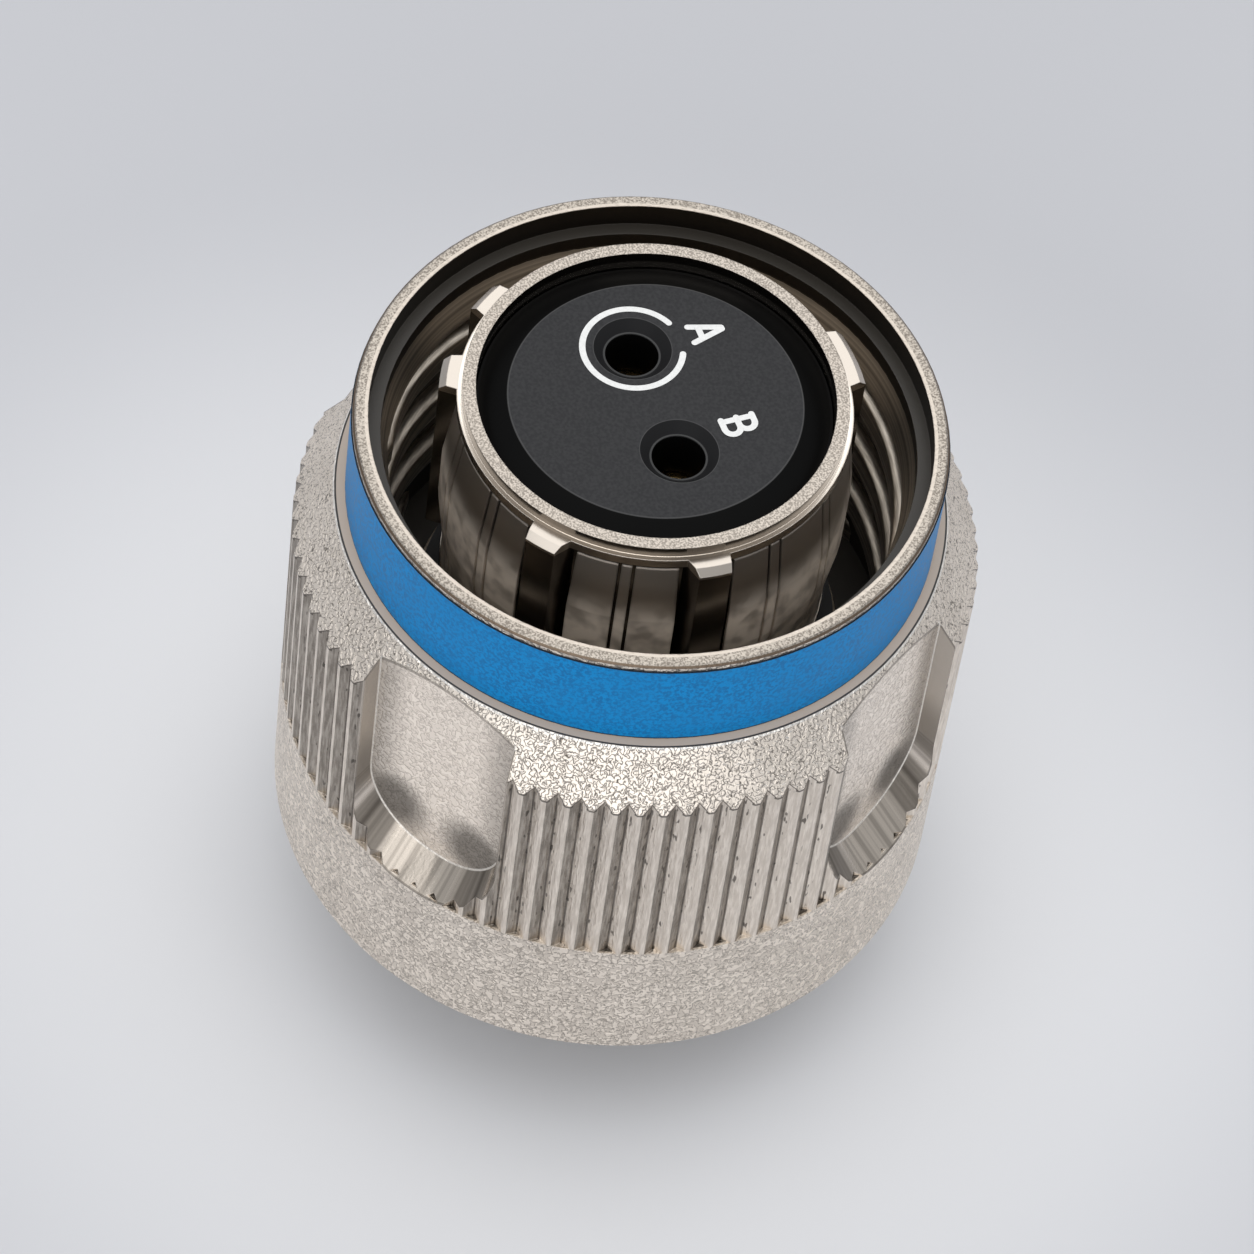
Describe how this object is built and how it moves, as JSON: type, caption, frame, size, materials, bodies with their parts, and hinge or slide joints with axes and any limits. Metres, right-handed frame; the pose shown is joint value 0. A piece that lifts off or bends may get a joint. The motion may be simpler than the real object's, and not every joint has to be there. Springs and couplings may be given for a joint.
{
  "type": "circular connector plug",
  "caption": "Round keyed connector plug with a knurled coupling nut that turns on its shell and an insulated insert with socket contacts.",
  "frame": {"origin": "middle of the rear end, on the main axis, where the plug stands", "axes": "+Z out of the mating face, +Y through the master key, +X towards contact B"},
  "size_m": [0.025, 0.025, 0.0289],
  "materials": {
    "shell_plating": "satin nickel plating",
    "spring_plating": "bright nickel plating",
    "spring_steel": "plain stainless",
    "contact_plating": "gold plating",
    "clip_alloy": "plain copper alloy",
    "insert_plastic": "matt charcoal",
    "band_ink": "satin blue",
    "seal_rubber": "grey silicone",
    "grommet_rubber": "grey silicone"
  },
  "bodies": {
    "plug": {"plug_shell": "shell_plating", "ratchet_ring": "spring_steel", "grounding_spring": "spring_plating", "shell_seal_ring": "seal_rubber", "front_insulator": "insert_plastic", "rear_insulator": "insert_plastic", "grommet": "grommet_rubber", "contact_a": "contact_plating", "contact_b": "contact_plating", "contact_hood_a": "spring_steel", "contact_hood_b": "spring_steel", "retention_clip_a": "clip_alloy", "retention_clip_b": "clip_alloy"},
    "nut": {"coupling_nut": "shell_plating", "colour_band": "band_ink", "detent_spring_1": "spring_steel", "detent_spring_2": "spring_steel", "detent_spring_3": "spring_steel", "detent_spring_pins": "spring_steel", "thrust_washer": "spring_steel", "bowed_washer": "spring_steel", "retaining_ring": "spring_steel"}
  },
  "joints": [
    {"name": "nut_turn", "type": "hinge", "parent": "plug", "child": "nut", "pos_m": [0, 0, 0], "axis": [0, 0, 1], "continuous": true}
  ]
}
